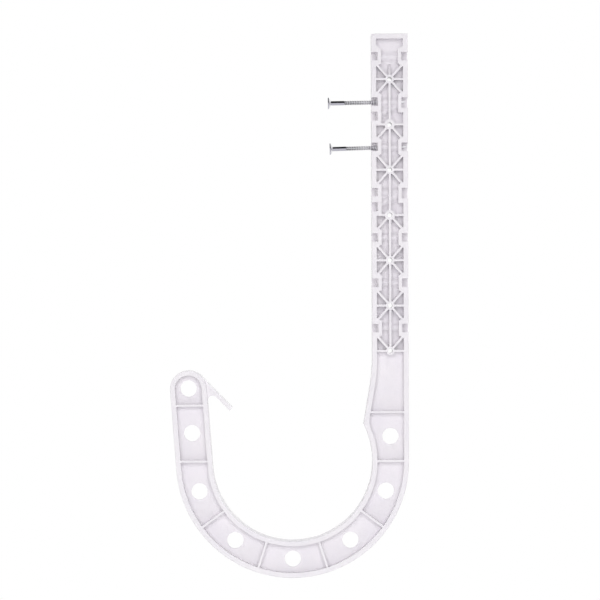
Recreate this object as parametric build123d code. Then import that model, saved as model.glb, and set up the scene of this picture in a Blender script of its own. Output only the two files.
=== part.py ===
from build123d import *
from math import cos, radians, sin, sqrt
import os

# J-hook pipe hanger: one plastic moulding with a ribbed nailing shaft, and two ring-shank nails.
# Millimetres and degrees. The origin is on the pipe's axis at mid thickness, +Z is up, +X points
# to the joist and the front faces -Y. Front views are drawn with X across and Z up.

# The pipe and the band that goes round it
PIPE_DIAMETER = 88.9
SEAT_CLEARANCE = 0.45
BAND_WIDTH = 20.4
DEPTH = 16.0
HEIGHT = 304.8
TOP_BEVEL = 2.0
RIM_BEVEL = 0.3
RIM_TAPER = 45.0

# The short arm and its springy barb
ARM_LEAN = 4.3
TIP_HEIGHT = 40.8
BARB_SLOPE = 45.6
BARB_LENGTH = 24.9
BARB_THICKNESS = 2.4
BARB_SETBACK = 1.5
BARB_ROOT_FILLET = 2.8

# The bump on the shaft that the pipe snaps under
BUMP_ANGLE = 27.3
BUMP_FLANK_LEAN = 9.7
BUMP_BLEND = 100.0
BUMP_PEAK_ROUND = 1.2
BUMP_POCKET_ROUND = 12.0

# Walls of the moulding
FLANGE = 2.7
WEB = 2.2
RIB = 1.25
RIB_SETBACK = 0.4
BOWL_CELLS = 5
ARM_RIB_HEIGHT = 31.4
FOOT_RIB_HEIGHT = 27.4
HOLE_DIAMETER = 9.2

# The nailing shaft: star ribs round bosses, with a row for side nails above each
NAIL_PITCH = 25.4
ROW_HEIGHT = 12.8
SPOKE_ANGLE = 48.5
FACE_HOLE_DIAMETER = 2.6
BOSS_DIAMETER = 4.9
WIDE_BOSS_DIAMETER = 5.8
SPINE_STUB = 9.0
JOG_DEPTH = 5.5
JOG_HEIGHT = 8.1
JOG_FLARE = 3.5

# Guides for the side nails. The rows in SLANT_ROWS, counted from the top, have a slanting guide too.
GUIDE_CLEARANCE = 0.3
GUIDE_COVER = 1.05
GUIDE_BLEND = 3.0
NOTCH_DEPTH = 3.6
NOTCH_HEIGHT = 4.7
NOTCH_LEAD_IN = 1.2
SLANT_ROWS = (1, 3)
SLANT_ANGLE = 25.4
SLANT_NOTCH_HEIGHT = 5.1
SLANT_NOTCH_DROP = 1.2
SLANT_JOG_DROP = 6.1

# The ring-shank nails: the row of each, how far its point stops short of the joist, and its tilt
NAIL_DIAMETER = 2.5
NAIL_LENGTH = 43.4
NAIL_HEAD_DIAMETER = 6.6
NAIL_HEAD_THICKNESS = 0.7
NAIL_NECK = 1.1
NAIL_POINT = 4.0
NAIL_TIP_WIDTH = 0.4
POINT_TURNS = (0, 90, 180, 270)
NAIL_ROWS = {1: (1.4, 0.9), 2: (0.5, 1.5)}

# Worked out from the sizes above
SEAT_RADIUS = PIPE_DIAMETER / 2 + SEAT_CLEARANCE
OUTER_RADIUS = SEAT_RADIUS + BAND_WIDTH
MID_RADIUS = SEAT_RADIUS + BAND_WIDTH / 2
TOP = HEIGHT - OUTER_RADIUS
FRONT = DEPTH / 2
RIB_FRONT = FRONT - RIB_SETBACK
GUIDE_RADIUS = NAIL_DIAMETER / 2 + GUIDE_CLEARANCE


def heading(angle):
    """Unit vector in the front view, at an angle up from +X."""
    return Vector(cos(radians(angle)), sin(radians(angle)))


def slab(view, back, front):
    """A front view given thickness, between two distances ahead of mid thickness."""
    return extrude(Plane.XZ.offset(back) * view, amount=front - back)


def leaving_circle(start, way, radius):
    """Where a line from start leaves a circle about the pipe's axis."""
    along = start.dot(way)
    return start + way * (sqrt(along**2 - start.dot(start) + radius**2) - along)


ARM_RISE = heading(90 + ARM_LEAN)
ARM_ACROSS = heading(ARM_LEAN)
ARM_FOOT = ARM_ACROSS * -MID_RADIUS
TIP = ARM_FOOT + ARM_RISE * ((TIP_HEIGHT - ARM_FOOT.Y) / ARM_RISE.Y)

BUMP_PEAK = heading(BUMP_ANGLE) * SEAT_RADIUS
FLANK_RISE = heading(90 - BUMP_FLANK_LEAN)
FLANK_INWARD = heading(-BUMP_FLANK_LEAN)
FLANK_TOP = BUMP_PEAK + FLANK_RISE * ((SEAT_RADIUS - BUMP_PEAK.X) / FLANK_RISE.X)

NODE_COUNT = int((TOP - FLANK_TOP.Y) / NAIL_PITCH)
NODES = [TOP - NAIL_PITCH * (count + 1) for count in range(NODE_COUNT)]
ROWS = [node + ROW_HEIGHT for node in NODES]


def band_view(inset):
    """Front view of the whole band, drawn in all round by an inset."""
    seat = SEAT_RADIUS + inset
    outer = OUTER_RADIUS - inset
    top = TOP - inset
    half = BAND_WIDTH / 2 - inset
    flank = BUMP_PEAK + FLANK_INWARD * inset
    peak = leaving_circle(flank, FLANK_RISE, seat)
    flank_top = flank + FLANK_RISE * ((seat - flank.X) / FLANK_RISE.X)
    return make_face(
        Curve()
        + [
            FilletPolyline((seat, top), flank_top, peak, radius=BUMP_BLEND + inset),
            ThreePointArc(peak, (0, -seat), ARM_ACROSS * -seat),
            Line(ARM_ACROSS * -seat, TIP + ARM_ACROSS * half),
            ThreePointArc(TIP + ARM_ACROSS * half, TIP + ARM_RISE * half, TIP - ARM_ACROSS * half),
            Line(TIP - ARM_ACROSS * half, ARM_ACROSS * -outer),
            ThreePointArc(ARM_ACROSS * -outer, (0, -outer), (outer, 0)),
            Polyline((outer, 0), (outer, top), (seat, top)),
        ]
    )


def corner_near(view, point):
    """The corner of a view that is nearest a point."""
    return view.vertices().sort_by_distance(point)[0]


def band():
    """The solid band, with its front and back rims bevelled."""
    view = chamfer(corner_near(band_view(0), (SEAT_RADIUS, TOP)), TOP_BEVEL)
    view = fillet(corner_near(view, BUMP_PEAK), BUMP_PEAK_ROUND)
    shoulder = FRONT - RIM_BEVEL
    rim = extrude(Plane.XZ.offset(shoulder) * view, amount=RIM_BEVEL, taper=RIM_TAPER)
    return slab(view, -shoulder, shoulder) + [rim, mirror(rim, about=Plane.XZ)]


def barb():
    """The tongue that springs aside for the pipe, with its root in the flange of the arm's tip."""
    away = heading(-BARB_SLOPE)
    outward = heading(90 - BARB_SLOPE)
    root = TIP + outward * (BAND_WIDTH / 2)
    under = root - outward * BARB_THICKNESS
    blade = make_face(
        Polyline(root, root + away * BARB_LENGTH, under + away * BARB_LENGTH, under, close=True)
    )
    crook = TIP + ARM_ACROSS * (BAND_WIDTH / 2)
    view = fillet(corner_near(band_view(0) + blade, crook - ARM_RISE * RIB), BARB_ROOT_FILLET)
    return slab(view - band_view(FLANGE / 2), BARB_SETBACK - FRONT, FRONT - BARB_SETBACK)


def jog(side, row, drop, flare):
    """Front view of a flange drawn in round a notch, down to a drop below the row."""
    face = MID_RADIUS + side * BAND_WIDTH / 2
    inner = face - side * JOG_DEPTH
    top = row + JOG_HEIGHT / 2
    bottom = row - drop
    return make_face(
        Polyline((inner, bottom), (inner, top), (face, top + JOG_FLARE), (face, bottom - flare), close=True)
    )


def jogs():
    """Front view of the jogs beside every nail row."""
    views = []
    for count, row in enumerate(ROWS):
        if count in SLANT_ROWS:
            views += [jog(-1, row, ROW_HEIGHT, 0), jog(1, row, SLANT_JOG_DROP, 0)]
        else:
            views += [jog(side, row, JOG_HEIGHT / 2, JOG_FLARE) for side in (-1, 1)]
    return views


def cross_ribs():
    """Front view of the ribs across the hook: round the bowl, in the arm and at the shaft's foot."""
    bar = Rectangle(2 * BAND_WIDTH, RIB)
    ribs = [
        Rot(0, 0, -180 * count / BOWL_CELLS) * Pos(MID_RADIUS, 0) * Rectangle(BAND_WIDTH, RIB)
        for count in range(BOWL_CELLS + 1)
    ]
    ribs.append(Pos(-MID_RADIUS, ARM_RIB_HEIGHT) * bar)
    ribs.append(Pos(MID_RADIUS, FOOT_RIB_HEIGHT) * bar)
    return ribs


def star_ribs():
    """Front view of the shaft's spine, and of the boss and spokes at each node."""
    spoke = Pos(BAND_WIDTH / 2, 0) * Rectangle(BAND_WIDTH, RIB)
    spine_middle = (NODES[0] + NODES[-1]) / 2
    views = [Pos(MID_RADIUS, spine_middle) * Rectangle(RIB, NODES[0] - NODES[-1])]
    for count, node in enumerate(NODES):
        slanting = count in SLANT_ROWS
        angles = [0, 180]
        if not slanting:
            angles += [SPOKE_ANGLE, 180 - SPOKE_ANGLE]
        if count < NODE_COUNT - 1:
            angles += [-SPOKE_ANGLE, SPOKE_ANGLE - 180]
        centre = Pos(MID_RADIUS, node)
        views += [centre * Rot(0, 0, angle) * spoke for angle in angles]
        boss = WIDE_BOSS_DIAMETER if slanting else BOSS_DIAMETER
        views.append(centre * Circle(boss / 2))
    return views


def spine_stub():
    """The spine's round end above the top node, running down to the web."""
    side = Pos(0, NODES[0]) * Ellipse(RIB_FRONT, SPINE_STUB)
    return extrude(Plane.YZ.offset(MID_RADIUS - RIB / 2) * side, amount=RIB)


def pockets():
    """What the mould takes out in front of the web, and behind it."""
    inside = fillet(corner_near(band_view(FLANGE), BUMP_PEAK), BUMP_POCKET_ROUND) - jogs()
    cells = inside - cross_ribs() - star_ribs()
    ahead = [slab(cells, WEB / 2, RIB_FRONT), slab(inside, RIB_FRONT, DEPTH)]
    return ahead + [mirror(cut, about=Plane.XZ) for cut in ahead]


def slant_axis(row):
    """A slanting guide's axis, from the right flange at the row's height down to the left."""
    right = Vector(OUTER_RADIUS - FLANGE / 2, row)
    return right, heading(SLANT_ANGLE)


def along_guides(section, reach):
    """Bars of a section along the nails' way through the shaft, level in every row and slanting in some."""
    level = Rot(0, 90, 0) * extrude(section, amount=reach / 2, both=True)
    bars = [Pos(MID_RADIUS, 0, row) * level for row in ROWS]
    for count in SLANT_ROWS:
        right, way = slant_axis(ROWS[count])
        middle = right + way * ((MID_RADIUS - right.X) / way.X)
        slanting = Rot(0, 90 - SLANT_ANGLE, 0) * extrude(section, amount=reach / way.X / 2, both=True)
        bars.append(Pos(middle.X, 0, middle.Y) * slanting)
    return bars


def guide_sleeves():
    """The round walls across the web that the side nails pass through, blended into the web."""
    sleeve = GUIDE_RADIUS + GUIDE_COVER
    web_reach = sleeve + GUIDE_BLEND / 2
    section = Circle(sleeve) + Rectangle(2 * web_reach, WEB)
    seams = [corner for corner in section.vertices() if abs(corner.X) < sleeve]
    return along_guides(fillet(seams, GUIDE_BLEND), BAND_WIDTH - JOG_DEPTH)


def guide_bores():
    """The holes through the sleeves and both flanges."""
    return along_guides(Circle(GUIDE_RADIUS), 2 * BAND_WIDTH)


def notch(side, middle, height, lead_in):
    """A slot in one flange, open to the front and the side, with its floor just behind the nail."""
    face = MID_RADIUS + side * BAND_WIDTH / 2
    outside = face + side * NOTCH_DEPTH
    end = face - side * NOTCH_DEPTH
    plan = make_face(
        Polyline(
            (outside, -DEPTH),
            (end, -DEPTH),
            (end, -FRONT),
            (end + side * lead_in, GUIDE_RADIUS),
            (outside, GUIDE_RADIUS),
            close=True,
        )
    )
    return extrude(Plane.XY.offset(middle - height / 2) * plan, amount=height)


def notches():
    """The slots at both ends of every guide. The left ones lead the nail in."""
    cuts = []
    for count, row in enumerate(ROWS):
        cuts.append(notch(-1, row, NOTCH_HEIGHT, NOTCH_LEAD_IN))
        if count in SLANT_ROWS:
            right, way = slant_axis(row)
            entry = right + way * ((SEAT_RADIUS + NOTCH_DEPTH / 2 - right.X) / way.X)
            cuts.append(notch(-1, entry.Y, SLANT_NOTCH_HEIGHT, NOTCH_LEAD_IN))
            cuts.append(notch(1, row - SLANT_NOTCH_DROP / 2, NOTCH_HEIGHT + SLANT_NOTCH_DROP, 0))
        else:
            cuts.append(notch(1, row, NOTCH_HEIGHT, 0))
    return cuts


def holes():
    """The round holes through the web in the hook's cells, and the face-nail holes in the bosses."""
    step = 180 / BOWL_CELLS
    centres = [heading(-step * (count + 0.5)) * MID_RADIUS for count in range(BOWL_CELLS)]
    centres.append(TIP)
    centres.append(ARM_FOOT + ARM_RISE * ((ARM_RIB_HEIGHT / 2 - ARM_FOOT.Y) / ARM_RISE.Y))
    centres.append(Vector(MID_RADIUS, FOOT_RIB_HEIGHT / 2))
    views = [Pos(centre.X, centre.Y) * Circle(HOLE_DIAMETER / 2) for centre in centres]
    views += [Pos(MID_RADIUS, node) * Circle(FACE_HOLE_DIAMETER / 2) for node in NODES]
    return slab(Sketch() + views, -DEPTH, DEPTH)


def hook():
    """The hanger: one moulding."""
    solid = band() - pockets()
    solid = solid + [barb(), spine_stub()] + guide_sleeves()
    return solid - guide_bores() - notches() - holes()


def nail():
    """One nail, from its head at the origin along +Z to its diamond point. Its fine rings are left off."""
    head = NAIL_HEAD_DIAMETER / 2
    shank = NAIL_DIAMETER / 2
    tip = NAIL_TIP_WIDTH / 2
    shoulder = NAIL_LENGTH - NAIL_POINT
    profile = Polyline(
        (0, 0),
        (head, 0),
        (head, NAIL_HEAD_THICKNESS),
        (shank, NAIL_HEAD_THICKNESS + NAIL_NECK),
        (shank, NAIL_LENGTH),
        (0, NAIL_LENGTH),
        close=True,
    )
    off_cut = make_face(
        Polyline((shank, shoulder), (head, shoulder), (head, NAIL_LENGTH), (tip, NAIL_LENGTH), close=True)
    )
    facet = extrude(Plane.XZ * off_cut, amount=head, both=True)
    return revolve(Plane.XZ * make_face(profile), Axis.Z) - [Rot(0, 0, turn) * facet for turn in POINT_TURNS]


def nails():
    """The two nails, held ready in their guides with their heads out to the left."""
    solids = []
    for count, (short, tilt) in NAIL_ROWS.items():
        way = heading(tilt)
        middle = Vector(MID_RADIUS, ROWS[count])
        head = middle + way * ((BAND_WIDTH / 2 - short) / way.X - NAIL_LENGTH)
        solids.append(Pos(head.X, 0, head.Y) * Rot(0, 90 - tilt, 0) * nail())
    return Compound(children=solids)


os.makedirs("parts", exist_ok=True)
export_step(hook(), "parts/hook.step")
export_step(nails(), "parts/nails.step")
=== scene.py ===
from math import atan, cos, pi, radians, sin, tau

import bmesh
import bpy
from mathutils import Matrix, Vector


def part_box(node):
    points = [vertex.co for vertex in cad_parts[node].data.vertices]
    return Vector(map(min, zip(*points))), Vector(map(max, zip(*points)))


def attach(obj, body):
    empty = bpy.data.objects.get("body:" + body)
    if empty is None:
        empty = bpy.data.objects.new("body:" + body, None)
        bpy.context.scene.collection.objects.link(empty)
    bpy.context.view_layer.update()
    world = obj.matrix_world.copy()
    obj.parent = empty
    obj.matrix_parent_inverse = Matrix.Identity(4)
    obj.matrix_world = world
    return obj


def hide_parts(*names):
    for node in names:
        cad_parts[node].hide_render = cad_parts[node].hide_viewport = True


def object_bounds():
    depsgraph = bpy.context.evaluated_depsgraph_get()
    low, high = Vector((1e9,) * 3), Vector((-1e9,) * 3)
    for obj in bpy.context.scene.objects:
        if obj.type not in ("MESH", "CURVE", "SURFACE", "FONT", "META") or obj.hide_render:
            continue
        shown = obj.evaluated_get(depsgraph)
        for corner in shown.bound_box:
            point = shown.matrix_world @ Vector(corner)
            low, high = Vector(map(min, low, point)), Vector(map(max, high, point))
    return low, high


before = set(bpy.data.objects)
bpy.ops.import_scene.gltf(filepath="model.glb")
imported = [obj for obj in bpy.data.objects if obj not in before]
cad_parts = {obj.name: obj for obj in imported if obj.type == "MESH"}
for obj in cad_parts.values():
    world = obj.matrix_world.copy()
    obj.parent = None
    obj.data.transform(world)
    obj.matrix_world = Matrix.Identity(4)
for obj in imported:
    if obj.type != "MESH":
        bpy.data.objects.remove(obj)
cad_low, cad_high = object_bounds()


# The hanger: one moulding in white plastic, a web between two flanges with ribs, bosses and nail guides.
# It comes out of its mould with a satin skin, faintly cloudy and lavender. Its shape is the CAD solid's,
# and the fine bevels along its rims are shaded as rounds.
WELD_DISTANCE = 2e-6
FLAT_WITHIN = radians(0.5)
SHARP_FROM_ANGLE = radians(50)


def merged_copy(node, name):
    """A new object with a CAD node's triangles merged to whole faces."""
    shape = bmesh.new()
    shape.from_mesh(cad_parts[node].data)
    bmesh.ops.remove_doubles(shape, verts=shape.verts, dist=WELD_DISTANCE)
    bmesh.ops.dissolve_limit(
        shape, angle_limit=FLAT_WITHIN, verts=shape.verts, edges=shape.edges, use_dissolve_boundaries=False
    )
    mesh = bpy.data.meshes.new(name)
    shape.to_mesh(mesh)
    shape.free()
    mesh.attributes.remove(mesh.attributes["custom_normal"])
    piece = bpy.data.objects.new(name, mesh)
    bpy.context.scene.collection.objects.link(piece)
    return piece


def new_material(name):
    """A node material, with its tree and its shader."""
    material = bpy.data.materials.new(name)
    material.use_nodes = True
    return material, material.node_tree, material.node_tree.nodes["Principled BSDF"]


def noise_on_surface(tree, scale, detail, stretch=(1, 1, 1)):
    """Noise fixed to the piece, with scale in grains per metre, drawn out along an axis by stretch."""
    place = tree.nodes.new("ShaderNodeTexCoord")
    mapping = tree.nodes.new("ShaderNodeMapping")
    mapping.inputs["Scale"].default_value = stretch
    noise = tree.nodes.new("ShaderNodeTexNoise")
    noise.inputs["Scale"].default_value = scale
    noise.inputs["Detail"].default_value = detail
    tree.links.new(place.outputs["Object"], mapping.inputs["Vector"])
    tree.links.new(mapping.outputs["Vector"], noise.inputs["Vector"])
    return noise.outputs["Fac"]


RAMP_FROM = 0.3
RAMP_TO = 0.7


def ramp(tree, factor, low, high):
    """Colours or greys between two values as a factor goes through the middle of its range."""
    blend = tree.nodes.new("ShaderNodeValToRGB")
    first, last = blend.color_ramp.elements
    first.position = RAMP_FROM
    last.position = RAMP_TO
    first.color = (*low, 1)
    last.color = (*high, 1)
    tree.links.new(factor, blend.inputs["Fac"])
    return blend.outputs["Color"]


def add_bump(tree, shader, height, strength, distance):
    """Fine relief on a shader's normal."""
    bump = tree.nodes.new("ShaderNodeBump")
    bump.inputs["Strength"].default_value = strength
    bump.inputs["Distance"].default_value = distance
    tree.links.new(height, bump.inputs["Height"])
    tree.links.new(bump.outputs["Normal"], shader.inputs["Normal"])


CLOUD_COOL = (0.835, 0.808, 0.850)
CLOUD_WARM = (0.870, 0.842, 0.872)
CLOUDS_PER_METRE = 55
CLOUD_DETAIL = 3
SKIN_GRAINS_PER_METRE = 2600
SKIN_DETAIL = 2
SKIN_SMOOTH = (0.20,) * 3
SKIN_ROUGH = (0.30,) * 3
SKIN_RELIEF = 0.12
SKIN_DEPTH = 0.00005
PLASTIC_IOR = 1.49
GLOW_SHARE = 0.25
GLOW_OF_EACH_COLOUR = (1, 1, 1)
GLOW_DEPTH = 0.001
white_plastic, tree, shader = new_material("white_plastic")
clouds = noise_on_surface(tree, CLOUDS_PER_METRE, CLOUD_DETAIL)
tree.links.new(ramp(tree, clouds, CLOUD_COOL, CLOUD_WARM), shader.inputs["Base Color"])
skin = noise_on_surface(tree, SKIN_GRAINS_PER_METRE, SKIN_DETAIL)
tree.links.new(ramp(tree, skin, SKIN_SMOOTH, SKIN_ROUGH), shader.inputs["Roughness"])
add_bump(tree, shader, skin, SKIN_RELIEF, SKIN_DEPTH)
shader.inputs["IOR"].default_value = PLASTIC_IOR
shader.inputs["Subsurface Weight"].default_value = GLOW_SHARE
shader.inputs["Subsurface Radius"].default_value = GLOW_OF_EACH_COLOUR
shader.inputs["Subsurface Scale"].default_value = GLOW_DEPTH

moulding = merged_copy("hook", "hanger_moulding")
moulding.data.materials.clear()
moulding.data.materials.append(white_plastic)
moulding.data.shade_smooth()
moulding.data.set_sharp_from_angle(angle=SHARP_FROM_ANGLE)
blended = moulding.modifiers.new("flat_faces_stay_flat", "WEIGHTED_NORMAL")
blended.keep_sharp = True
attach(moulding, "root")
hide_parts("hook")


# The two ring-shank nails: bright drawn wire with an upset flat head, a cone under it, a plain stretch of
# shank and then rolled rings down to a diamond point. They are pushed into the shaft's guides, points
# first. Each ring is steep on the side of the head, so that the nail can't draw out.
NAIL_LENGTH = 0.0434
UPPER_TILT = radians(0.9)
LOWER_TILT = radians(1.5)
HEAD_RADIUS = 0.0033
HEAD_THICKNESS = 0.0007
HEAD_EDGE = 0.00012
NECK_LENGTH = 0.0011
PLAIN_RADIUS = 0.00125
PLAIN_END = 0.0094
ROOT_RADIUS = 0.00096
CREST_RADIUS = 0.00127
RING_PITCH = 0.00135
RING_STEEP = 0.00035
POINT_LENGTH = 0.0040
POINT_ROWS = 8
TIP_HALF = 0.0002
SHOULDER = NAIL_LENGTH - POINT_LENGTH
RING_COUNT = int((SHOULDER - PLAIN_END) / RING_PITCH)
RINGS_END = PLAIN_END + RING_COUNT * RING_PITCH
ROUND_STEPS = 32
ACROSS_AXIS = (1, 1, 0)
NAIL_SHARP_FROM = radians(24)
GROOVE = "groove"


def nail_body():
    """One nail from its head at the origin along +Z, left open where its rings go."""
    neck_end = HEAD_THICKNESS + NECK_LENGTH
    head_profile = (
        (0, HEAD_RADIUS - HEAD_EDGE),
        (HEAD_EDGE, HEAD_RADIUS),
        (HEAD_THICKNESS - HEAD_EDGE, HEAD_RADIUS),
        (HEAD_THICKNESS, HEAD_RADIUS - HEAD_EDGE),
        (neck_end, PLAIN_RADIUS),
        (PLAIN_END, PLAIN_RADIUS),
        (PLAIN_END, ROOT_RADIUS),
    )
    point_profile = ((RINGS_END, ROOT_RADIUS), (SHOULDER, ROOT_RADIUS))
    turns = [tau * step / ROUND_STEPS for step in range(ROUND_STEPS)]
    head_rows, point_rows = (
        [[(radius * cos(turn), radius * sin(turn), along) for turn in turns] for along, radius in profile]
        for profile in (head_profile, point_profile)
    )
    for count in range(1, POINT_ROWS + 1):
        share = count / POINT_ROWS
        half = CREST_RADIUS + (TIP_HALF - CREST_RADIUS) * share
        row = []
        for turn in turns:
            reach = min(ROOT_RADIUS, half / max(abs(cos(turn)), abs(sin(turn))))
            row.append((reach * cos(turn), reach * sin(turn), SHOULDER + POINT_LENGTH * share))
        point_rows.append(row)
    shape = bmesh.new()
    head_loops, point_loops = (
        [[shape.verts.new(place) for place in row] for row in rows] for rows in (head_rows, point_rows)
    )
    shape.faces.new(reversed(head_loops[0]))
    shape.faces.new(point_loops[-1])
    for loops in (head_loops, point_loops):
        for near, far in zip(loops, loops[1:]):
            for step in range(ROUND_STEPS):
                after = (step + 1) % ROUND_STEPS
                shape.faces.new((near[step], near[after], far[after], far[step]))
    mesh = bpy.data.meshes.new("ring_nails")
    shape.to_mesh(mesh)
    shape.free()
    return mesh


def ring_nail_tree():
    """Welds rings into a nail's open shank, and sets a copy of the nail at each of two places."""
    group = bpy.data.node_groups.new("ring_nails", "GeometryNodeTree")
    sockets = group.interface
    sockets.new_socket("Geometry", in_out="INPUT", socket_type="NodeSocketGeometry")
    for name, kind in (
        ("Ring Count", "NodeSocketInt"),
        ("Ring Pitch", "NodeSocketFloat"),
        ("Ring Start", "NodeSocketFloat"),
        ("Root Radius", "NodeSocketFloat"),
        ("Crest Radius", "NodeSocketFloat"),
        ("Steep Flank", "NodeSocketFloat"),
        ("Long Flank", "NodeSocketFloat"),
        ("Upper Head", "NodeSocketVector"),
        ("Lower Head", "NodeSocketVector"),
        ("Upper Turn", "NodeSocketVector"),
        ("Lower Turn", "NodeSocketVector"),
        ("Steel", "NodeSocketMaterial"),
    ):
        sockets.new_socket(name, in_out="INPUT", socket_type=kind)
    sockets.new_socket("Geometry", in_out="OUTPUT", socket_type="NodeSocketGeometry")
    start = group.nodes.new("NodeGroupInput")
    end = group.nodes.new("NodeGroupOutput")
    given = start.outputs

    def step(kind, **links):
        """A node with its inputs linked to the outputs given by name."""
        node = group.nodes.new(kind)
        for name, output in links.items():
            group.links.new(output, node.inputs[name.replace("_", " ")])
        return node

    def flank(bottom, top, length):
        """One sloping side of a ring."""
        cone = step("GeometryNodeMeshCone", Radius_Bottom=bottom, Radius_Top=top, Depth=length)
        cone.fill_type = "NONE"
        cone.inputs["Vertices"].default_value = ROUND_STEPS
        return cone.outputs["Mesh"]

    def welded(shape):
        """A shape with the points that meet joined."""
        joined = step("GeometryNodeMergeByDistance", Geometry=shape.outputs[0])
        joined.inputs["Distance"].default_value = WELD_DISTANCE
        return joined.outputs[0]

    steep = flank(given["Root Radius"], given["Crest Radius"], given["Steep Flank"])
    long = flank(given["Crest Radius"], given["Root Radius"], given["Long Flank"])
    past_steep = step("ShaderNodeCombineXYZ", Z=given["Steep Flank"]).outputs[0]
    long = step("GeometryNodeTransform", Geometry=long, Translation=past_steep).outputs[0]
    ring = step("GeometryNodeJoinGeometry")
    group.links.new(steep, ring.inputs[0])
    group.links.new(long, ring.inputs[0])
    across = step("ShaderNodeVectorMath")
    across.operation = "MULTIPLY"
    across.inputs[1].default_value = ACROSS_AXIS
    group.links.new(step("GeometryNodeInputPosition").outputs[0], across.inputs[0])
    off_axis = step("ShaderNodeVectorMath")
    off_axis.operation = "LENGTH"
    group.links.new(across.outputs[0], off_axis.inputs[0])
    depth = step("ShaderNodeMapRange", Value=off_axis.outputs["Value"])
    group.links.new(given["Crest Radius"], depth.inputs["From Min"])
    group.links.new(given["Root Radius"], depth.inputs["From Max"])
    # Each point of a ring keeps how deep it lies in its groove, which the steel's painted shade follows.
    ring = step("GeometryNodeStoreNamedAttribute", Geometry=welded(ring), Value=depth.outputs["Result"])
    ring.inputs["Name"].default_value = GROOVE
    first = step("ShaderNodeCombineXYZ", Z=given["Ring Start"]).outputs[0]
    apart = step("ShaderNodeCombineXYZ", Z=given["Ring Pitch"]).outputs[0]
    places = step("GeometryNodeMeshLine", Count=given["Ring Count"], Start_Location=first, Offset=apart)
    rings = step("GeometryNodeInstanceOnPoints", Points=places.outputs[0], Instance=ring.outputs[0])
    nail = step("GeometryNodeJoinGeometry")
    group.links.new(given["Geometry"], nail.inputs[0])
    group.links.new(rings.outputs[0], nail.inputs[0])
    nail = welded(step("GeometryNodeRealizeInstances", Geometry=nail.outputs[0]))
    both = step("GeometryNodeJoinGeometry")
    for which in ("Upper", "Lower"):
        turn = step("FunctionNodeEulerToRotation", Euler=given[which + " Turn"]).outputs[0]
        placed = step("GeometryNodeTransform", Geometry=nail, Rotation=turn)
        group.links.new(given[which + " Head"], placed.inputs["Translation"])
        group.links.new(placed.outputs[0], both.inputs[0])
    real = step("GeometryNodeRealizeInstances", Geometry=both.outputs[0])
    steel = step("GeometryNodeSetMaterial", Geometry=real.outputs[0], Material=given["Steel"])
    group.links.new(steel.outputs[0], end.inputs[0])
    return group


def made_by_nodes(piece, group, values):
    """Runs a geometry tree on a piece with its inputs given by name, and keeps the plain mesh."""
    run = piece.modifiers.new(group.name, "NODES")
    run.node_group = group
    for item in group.interface.items_tree:
        if item.in_out == "INPUT" and item.name in values:
            run[item.identifier] = values[item.name]
    now = bpy.context.evaluated_depsgraph_get()
    mesh = bpy.data.meshes.new_from_object(piece.evaluated_get(now))
    piece.modifiers.remove(run)
    piece.data = mesh


STEEL_BRIGHT = (0.84, 0.84, 0.86)
STEEL_DULL = (0.70, 0.70, 0.73)
# Painted shade: the steel is darkened towards the roots of the ring grooves, standing in for the shadow
# between the rings.
GROOVE_PAINTED_SHADE = (0.60, 0.60, 0.63)
DRAWN_LINES_PER_METRE = 900
DRAWN_DETAIL = 4
ALONG_WIRE = (0.05, 1, 1)
DULL_ROUGHNESS = (0.18,) * 3
BRIGHT_ROUGHNESS = (0.10,) * 3
DRAWN_RELIEF = 0.15
DRAWN_DEPTH = 0.00004
wire_steel, tree, shader = new_material("wire_steel")
drawn = noise_on_surface(tree, DRAWN_LINES_PER_METRE, DRAWN_DETAIL, ALONG_WIRE)
# Painted shade in the ring grooves: the steel colour is mixed towards a darker grey the deeper a point
# lies in its groove.
groove = tree.nodes.new("ShaderNodeAttribute")
groove.attribute_name = GROOVE
groove_shaded = tree.nodes.new("ShaderNodeMix")
groove_shaded.data_type = "RGBA"
tree.links.new(groove.outputs["Fac"], groove_shaded.inputs["Factor"])
tree.links.new(ramp(tree, drawn, STEEL_DULL, STEEL_BRIGHT), groove_shaded.inputs["A"])
groove_shaded.inputs["B"].default_value = (*GROOVE_PAINTED_SHADE, 1)
tree.links.new(groove_shaded.outputs["Result"], shader.inputs["Base Color"])
tree.links.new(ramp(tree, drawn, DULL_ROUGHNESS, BRIGHT_ROUGHNESS), shader.inputs["Roughness"])
add_bump(tree, shader, drawn, DRAWN_RELIEF, DRAWN_DEPTH)
shader.inputs["Metallic"].default_value = 1

nails_low, nails_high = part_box("nails")
upper_head = (
    nails_low.x + HEAD_RADIUS * sin(UPPER_TILT),
    0,
    nails_high.z - HEAD_RADIUS * cos(UPPER_TILT),
)
lower_head = (
    nails_high.x - NAIL_LENGTH * cos(LOWER_TILT) - TIP_HALF * sin(LOWER_TILT),
    0,
    nails_low.z + HEAD_RADIUS * cos(LOWER_TILT),
)
nails = bpy.data.objects.new("ring_nails", nail_body())
bpy.context.scene.collection.objects.link(nails)
made_by_nodes(
    nails,
    ring_nail_tree(),
    {
        "Ring Count": RING_COUNT,
        "Ring Pitch": RING_PITCH,
        "Ring Start": PLAIN_END,
        "Root Radius": ROOT_RADIUS,
        "Crest Radius": CREST_RADIUS,
        "Steep Flank": RING_STEEP,
        "Long Flank": RING_PITCH - RING_STEEP,
        "Upper Head": upper_head,
        "Lower Head": lower_head,
        "Upper Turn": (0, pi / 2 - UPPER_TILT, 0),
        "Lower Turn": (0, pi / 2 - LOWER_TILT, 0),
        "Steel": wire_steel,
    },
)
nails.data.shade_smooth()
nails.data.set_sharp_from_angle(angle=NAIL_SHARP_FROM)
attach(nails, "root")
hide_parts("nails")


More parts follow.
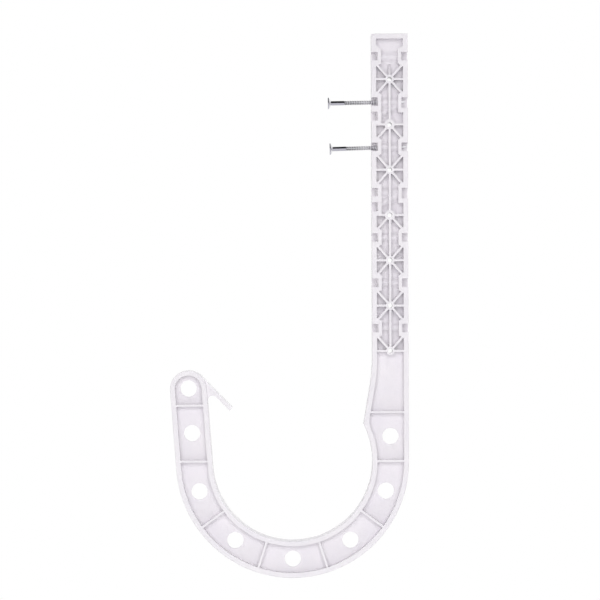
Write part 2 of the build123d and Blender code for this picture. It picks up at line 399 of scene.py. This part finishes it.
# The floor: a plain pale disc some way under the hanger, which hangs free as it does from its joist.
# It takes the hanger's shadow and fades to the white of the background at its edge.
FLOOR_DROP = 0.18
FLOOR_RADIUS = 1.2
FLOOR_FADE_FROM = 0.5
FLOOR_STEPS = 96
FLOOR_WHITE = (0.9, 0.9, 0.9)
FLOOR_ROUGHNESS = 0.9
FLOOR_GLOSS = 0.1
ALONG_FLOOR = (1, 1, 0)
floor_shape = bmesh.new()
bmesh.ops.create_circle(floor_shape, cap_ends=True, radius=FLOOR_RADIUS, segments=FLOOR_STEPS)
bmesh.ops.translate(floor_shape, verts=floor_shape.verts, vec=(0, 0, cad_low.z - FLOOR_DROP))
floor_mesh = bpy.data.meshes.new("floor")
floor_shape.to_mesh(floor_mesh)
floor_shape.free()
floor = bpy.data.objects.new("floor", floor_mesh)
bpy.context.scene.collection.objects.link(floor)
pale_floor, tree, shader = new_material("pale_floor")
shader.inputs["Base Color"].default_value = (*FLOOR_WHITE, 1)
shader.inputs["Roughness"].default_value = FLOOR_ROUGHNESS
shader.inputs["Specular IOR Level"].default_value = FLOOR_GLOSS
place = tree.nodes.new("ShaderNodeTexCoord")
flat = tree.nodes.new("ShaderNodeVectorMath")
flat.operation = "MULTIPLY"
flat.inputs[1].default_value = ALONG_FLOOR
tree.links.new(place.outputs["Object"], flat.inputs[0])
reach = tree.nodes.new("ShaderNodeVectorMath")
reach.operation = "LENGTH"
tree.links.new(flat.outputs["Vector"], reach.inputs[0])
fade = tree.nodes.new("ShaderNodeMapRange")
fade.interpolation_type = "SMOOTHSTEP"
fade.inputs["From Min"].default_value = FLOOR_FADE_FROM
fade.inputs["From Max"].default_value = FLOOR_RADIUS
tree.links.new(reach.outputs["Value"], fade.inputs["Value"])
white = tree.nodes.new("ShaderNodeEmission")
mix = tree.nodes.new("ShaderNodeMixShader")
tree.links.new(fade.outputs["Result"], mix.inputs["Fac"])
tree.links.new(shader.outputs["BSDF"], mix.inputs[1])
tree.links.new(white.outputs["Emission"], mix.inputs[2])
tree.links.new(mix.outputs["Shader"], tree.nodes["Material Output"].inputs["Surface"])
floor.data.materials.append(pale_floor)


# The studio light: an even pale surround and five broad soft lamps, in front, behind, on each side and
# overhead. Four curved cards that only reflections show draw the nails: a dark one over them and a grey
# one under them meet along each shank, and a dark wing beside each card draws the edges of the rings.
SURROUND = 0.31
WHITE = (1, 1, 1, 1)
UNLIT = (0, 0, 0, 1)
LAMP_AWAY = 2.4
LAMP_HEIGHT = 0.35
OVERHEAD_BACK = 0.8
LAMP_AIM = Vector((0, 0, 0.09))
LAMP_WIDTH = 1.6
LAMP_PLACES_AND_WATTS = (
    ((0, -LAMP_AWAY, LAMP_HEIGHT), 34),
    ((0, LAMP_AWAY, LAMP_HEIGHT), 24),
    ((-LAMP_AWAY, 0, LAMP_HEIGHT), 8),
    ((LAMP_AWAY, 0, LAMP_HEIGHT), 16),
    ((0, OVERHEAD_BACK, LAMP_AWAY), 20),
)
CARD_RADIUS = 0.36
CARD_STEPS = 24
CARD_BLACK = (0.01, 0.01, 0.01)
CARD_GREY = (0.61, 0.60, 0.66)
CARDS_MEET = radians(8)
CARDS_END = radians(140)
UPPER_WING_FROM = radians(28)
LOWER_WING_FROM = radians(-20)
UPPER_HALF = 0.19
LOWER_HALF = 0.13
WING_END = 0.40
CARDS = (
    ("dark_card", CARDS_MEET, CARDS_END, -UPPER_HALF, UPPER_HALF, CARD_BLACK),
    ("dark_wing_over", UPPER_WING_FROM, CARDS_END, UPPER_HALF, WING_END, CARD_BLACK),
    ("grey_card", CARDS_MEET, -CARDS_END, -LOWER_HALF, LOWER_HALF, CARD_GREY),
    ("dark_wing_under", LOWER_WING_FROM, -CARDS_END, LOWER_HALF, WING_END, CARD_BLACK),
)
world = bpy.data.worlds.new("studio")
bpy.context.scene.world = world
world.use_nodes = True
tree = world.node_tree
surround = tree.nodes["Background"]
surround.inputs["Color"].default_value = WHITE
surround.inputs["Strength"].default_value = SURROUND
backdrop = tree.nodes.new("ShaderNodeBackground")
backdrop.inputs["Color"].default_value = WHITE
backdrop.inputs["Strength"].default_value = 1
rays = tree.nodes.new("ShaderNodeLightPath")
seen = rays.outputs["Is Camera Ray"]
for kind in ("Is Glossy Ray", "Is Transmission Ray"):
    either = tree.nodes.new("ShaderNodeMath")
    either.operation = "MAXIMUM"
    tree.links.new(seen, either.inputs[0])
    tree.links.new(rays.outputs[kind], either.inputs[1])
    seen = either.outputs["Value"]
mix = tree.nodes.new("ShaderNodeMixShader")
tree.links.new(seen, mix.inputs["Fac"])
tree.links.new(surround.outputs["Background"], mix.inputs[1])
tree.links.new(backdrop.outputs["Background"], mix.inputs[2])
tree.links.new(mix.outputs["Shader"], tree.nodes["World Output"].inputs["Surface"])

for place, watts in LAMP_PLACES_AND_WATTS:
    lamp_place = Vector(place)
    lamp_data = bpy.data.lights.new("soft_lamp", "AREA")
    lamp_data.shape = "DISK"
    lamp_data.size = LAMP_WIDTH
    lamp_data.energy = watts
    lamp = bpy.data.objects.new("soft_lamp", lamp_data)
    lamp.location = lamp_place
    lamp.rotation_euler = (LAMP_AIM - lamp_place).to_track_quat("-Z", "Y").to_euler()
    lamp.visible_camera = False
    lamp.visible_glossy = False
    bpy.context.scene.collection.objects.link(lamp)

nail_height = upper_head[2]
for name, first, last, left, right, colour in CARDS:
    card_shape = bmesh.new()
    card_loops = []
    for step in range(CARD_STEPS + 1):
        turn = first + (last - first) * step / CARD_STEPS
        across = -CARD_RADIUS * cos(turn)
        height = nail_height + CARD_RADIUS * sin(turn)
        card_loops.append([card_shape.verts.new((end, across, height)) for end in (left, right)])
    for near, far in zip(card_loops, card_loops[1:]):
        card_shape.faces.new((near[0], near[1], far[1], far[0]))
    card_mesh = bpy.data.meshes.new(name)
    card_shape.to_mesh(card_mesh)
    card_shape.free()
    card = bpy.data.objects.new(name, card_mesh)
    bpy.context.scene.collection.objects.link(card)
    card_paint, tree, shader = new_material(name)
    shader.inputs["Base Color"].default_value = UNLIT
    shader.inputs["Specular IOR Level"].default_value = 0
    shader.inputs["Emission Color"].default_value = (*colour, 1)
    shader.inputs["Emission Strength"].default_value = 1
    card.data.materials.append(card_paint)
    card.visible_camera = False
    card.visible_diffuse = False
    card.visible_shadow = False
    card.visible_transmission = False


# The camera: far off, level and straight ahead of the hanger, turned a fifth of a degree.
# Its angle of view sets the photograph's scale, in pixels per metre at the hanger's middle.
PHOTO_PIXELS = 600
PIXELS_PER_METRE = 1776.9
CAMERA_DISTANCE = 1.8
CAMERA_AIM = (0.0045, 0.0904)
CAMERA_ROLL = radians(0.2)
camera_data = bpy.data.cameras.new("camera")
camera_data.angle = 2 * atan(PHOTO_PIXELS / PIXELS_PER_METRE / 2 / CAMERA_DISTANCE)
camera = bpy.data.objects.new("camera", camera_data)
camera.location = (CAMERA_AIM[0], -CAMERA_DISTANCE, CAMERA_AIM[1])
camera.rotation_euler = (pi / 2, CAMERA_ROLL, 0)
bpy.context.scene.collection.objects.link(camera)
bpy.context.scene.camera = camera
bpy.context.scene.view_settings.view_transform = "Standard"
